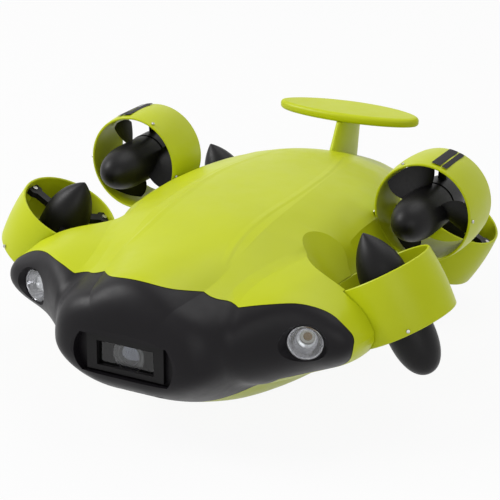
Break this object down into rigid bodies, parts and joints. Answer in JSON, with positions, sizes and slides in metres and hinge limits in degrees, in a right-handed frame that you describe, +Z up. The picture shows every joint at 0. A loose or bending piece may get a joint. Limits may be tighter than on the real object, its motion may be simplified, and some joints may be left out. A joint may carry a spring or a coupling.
{
  "type": "underwater inspection robot",
  "caption": "Low-slung underwater robot with canted ducted thrusters round a smooth hull, a black camera mask with splayed headlights and a T-shaped tail handle.",
  "frame": {"origin": "centre of the underside of the bounding box", "axes": "nose towards -Y, port side (the robot's own left) towards +X, up is +Z"},
  "size_m": [0.3282, 0.383, 0.143],
  "materials": {
    "hull_plastic": "satin moulded plastic, lime",
    "mask_plastic": "satin black moulded plastic",
    "black_plastic": "fine matt black glass-filled plastic",
    "winding_copper": "enamelled copper potted in resin",
    "bearing_plastic": "plain bush, off-white polymer",
    "steel": "stainless steel",
    "reflector_metal": "vacuum-metallised reflector",
    "led_board": "ceramic board with a yellow emitter",
    "clear_glass": "clear, polished",
    "lens_black": "black barrel with a coated front element",
    "circuit_board": "green solder mask",
    "seal_rubber": "silicone seal",
    "battery_wrap": "blue shrink wrap",
    "foam": "closed-cell foam"
  },
  "bodies": {
    "vehicle": {"accessory_plate": "black_plastic", "battery_pack": "battery_wrap", "camera_bezel": "black_plastic", "camera_board": "circuit_board", "camera_window": "clear_glass", "control_board": "circuit_board", "depth_sensor": "steel", "foam_blocks": "foam", "front_mask": "mask_plastic", "front_port_duct": "hull_plastic", "front_port_pod": "black_plastic", "front_port_windings": "winding_copper", "front_starboard_duct": "hull_plastic", "front_starboard_pod": "black_plastic", "front_starboard_windings": "winding_copper", "handle_wing": "hull_plastic", "housing_lid": "black_plastic", "housing_seal": "seal_rubber", "lens_barrel": "lens_black", "lower_shell": "hull_plastic", "plate_screws": "steel", "port_lamp_lens": "clear_glass", "port_led": "led_board", "port_reflector": "reflector_metal", "pressure_housing": "black_plastic", "rear_port_duct": "hull_plastic", "rear_port_pod": "black_plastic", "rear_port_windings": "winding_copper", "rear_starboard_duct": "hull_plastic", "rear_starboard_pod": "black_plastic", "rear_starboard_windings": "winding_copper", "shaft_bearings": "bearing_plastic", "shell_screws": "steel", "side_port_duct": "hull_plastic", "side_port_pod": "black_plastic", "side_port_windings": "winding_copper", "side_starboard_duct": "hull_plastic", "side_starboard_pod": "black_plastic", "side_starboard_windings": "winding_copper", "socket_insert": "black_plastic", "starboard_lamp_lens": "clear_glass", "starboard_led": "led_board", "starboard_reflector": "reflector_metal", "strut_screws": "steel", "tether_socket": "steel", "trim_weights": "steel", "upper_shell": "hull_plastic"},
    "front_port_rotor": {"front_port_propeller": "black_plastic", "front_port_shaft": "steel"},
    "side_port_rotor": {"side_port_propeller": "black_plastic", "side_port_shaft": "steel"},
    "rear_port_rotor": {"rear_port_propeller": "black_plastic", "rear_port_shaft": "steel"},
    "front_starboard_rotor": {"front_starboard_propeller": "black_plastic", "front_starboard_shaft": "steel"},
    "side_starboard_rotor": {"side_starboard_propeller": "black_plastic", "side_starboard_shaft": "steel"},
    "rear_starboard_rotor": {"rear_starboard_propeller": "black_plastic", "rear_starboard_shaft": "steel"}
  },
  "joints": [
    {"name": "front_port_spin", "type": "hinge", "parent": "vehicle", "child": "front_port_rotor", "pos_m": [0.1306, -0.0704, 0.06833], "axis": [-0.5, 0, 0.866], "continuous": true},
    {"name": "side_port_spin", "type": "hinge", "parent": "vehicle", "child": "side_port_rotor", "pos_m": [0.1113, 0.0378, 0.1077], "axis": [0, -1, 0], "continuous": true},
    {"name": "rear_port_spin", "type": "hinge", "parent": "vehicle", "child": "rear_port_rotor", "pos_m": [0.08137, 0.116, 0.0434], "axis": [0.4695, 0, 0.8829], "continuous": true},
    {"name": "front_starboard_spin", "type": "hinge", "parent": "vehicle", "child": "front_starboard_rotor", "pos_m": [-0.1306, -0.0704, 0.06833], "axis": [0.5, 0, 0.866], "continuous": true},
    {"name": "side_starboard_spin", "type": "hinge", "parent": "vehicle", "child": "side_starboard_rotor", "pos_m": [-0.1113, 0.0378, 0.1077], "axis": [0, -1, 0], "continuous": true},
    {"name": "rear_starboard_spin", "type": "hinge", "parent": "vehicle", "child": "rear_starboard_rotor", "pos_m": [-0.08137, 0.116, 0.0434], "axis": [-0.4695, 0, 0.8829], "continuous": true}
  ]
}
